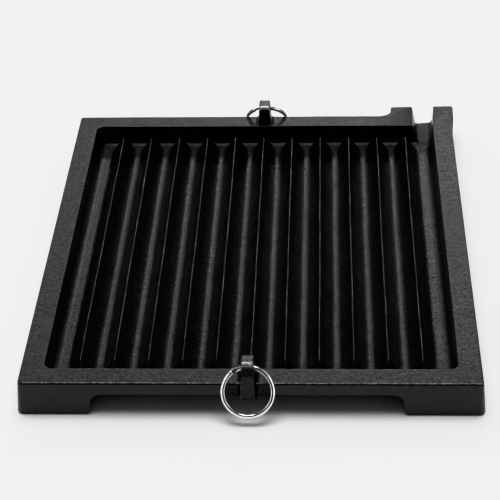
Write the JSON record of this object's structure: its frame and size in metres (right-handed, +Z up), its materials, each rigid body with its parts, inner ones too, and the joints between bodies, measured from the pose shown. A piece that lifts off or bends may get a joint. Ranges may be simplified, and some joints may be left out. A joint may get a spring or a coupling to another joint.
{
  "type": "ribbed grill plate",
  "caption": "Shallow cast-iron grill plate with knife-edged ridges, flat rim, corner feet, a pour spout, and a swinging split ring on a lug at the front and at the back.",
  "frame": {"origin": "on the table, under the middle of the plate", "axes": "+Z up; +Y towards the back edge, which carries the pour spout; +X towards the plate's right side"},
  "size_m": [0.3043, 0.3682, 0.041],
  "materials": {
    "cast_iron": "black, sand-cast grain, semi-gloss coating",
    "ring_chrome": "polished"
  },
  "bodies": {
    "plate": {"grill_plate": "cast_iron"},
    "front_ring": {"front_ring": "ring_chrome"},
    "back_ring": {"back_ring": "ring_chrome"}
  },
  "joints": [
    {"name": "front_ring_swing", "type": "hinge", "parent": "plate", "child": "front_ring", "pos_m": [-0.0008, -0.166, 0.0352], "axis": [-1, 0, 0], "range_deg": [0, 260]},
    {"name": "back_ring_swing", "type": "hinge", "parent": "plate", "child": "back_ring", "pos_m": [0.0014, 0.166, 0.0352], "axis": [1, 0, 0], "range_deg": [0, 260]}
  ]
}
